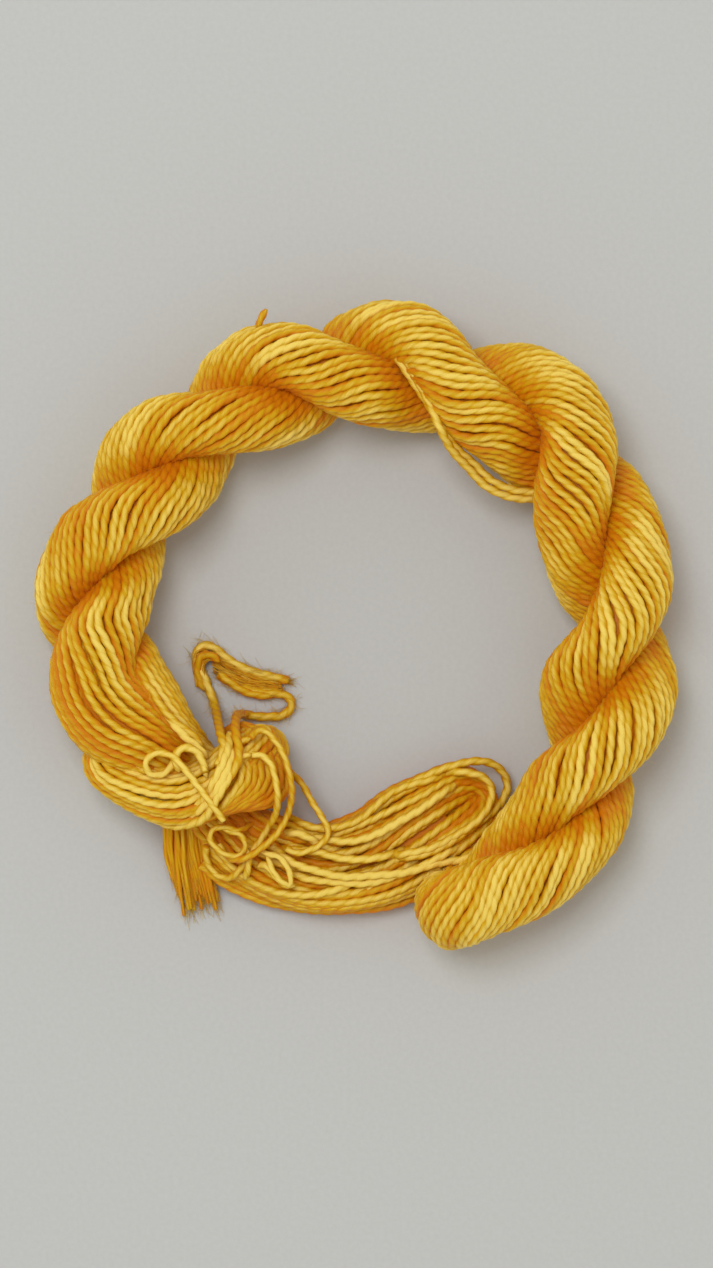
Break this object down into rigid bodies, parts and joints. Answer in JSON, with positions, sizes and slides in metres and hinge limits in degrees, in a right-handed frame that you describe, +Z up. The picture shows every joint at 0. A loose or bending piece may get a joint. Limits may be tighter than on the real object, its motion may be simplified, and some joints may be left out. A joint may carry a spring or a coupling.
{
  "type": "hank of wool silk yarn",
  "caption": "Twisted hank of golden two-fold wool and silk yarn, folded into a thick rope and laid in a ring, with a flat loose end loop, a knotted collar, tie ends and a small cut tuft.",
  "frame": {"origin": "on the surface the hank lies on, below the middle of its outline", "axes": "+Z up; +Y from the folded end and the loose loop towards the far side of the ring; the knot is at -X -Y"},
  "size_m": [0.0995, 0.1014, 0.0195],
  "materials": {
    "yarn": "smooth two-fold yarn with a soft silk sheen",
    "cut_ends": "frayed yarn ends, matt and fuzzy"
  },
  "bodies": {
    "root": {"hank": "yarn", "tuft": "cut_ends", "tie_tail_upper": "yarn", "tie_tail_lower": "yarn", "tie_loop_outer": "yarn", "tie_loop_inner": "yarn", "tie_bight": "yarn", "tie_end": "yarn"}
  },
  "joints": []
}
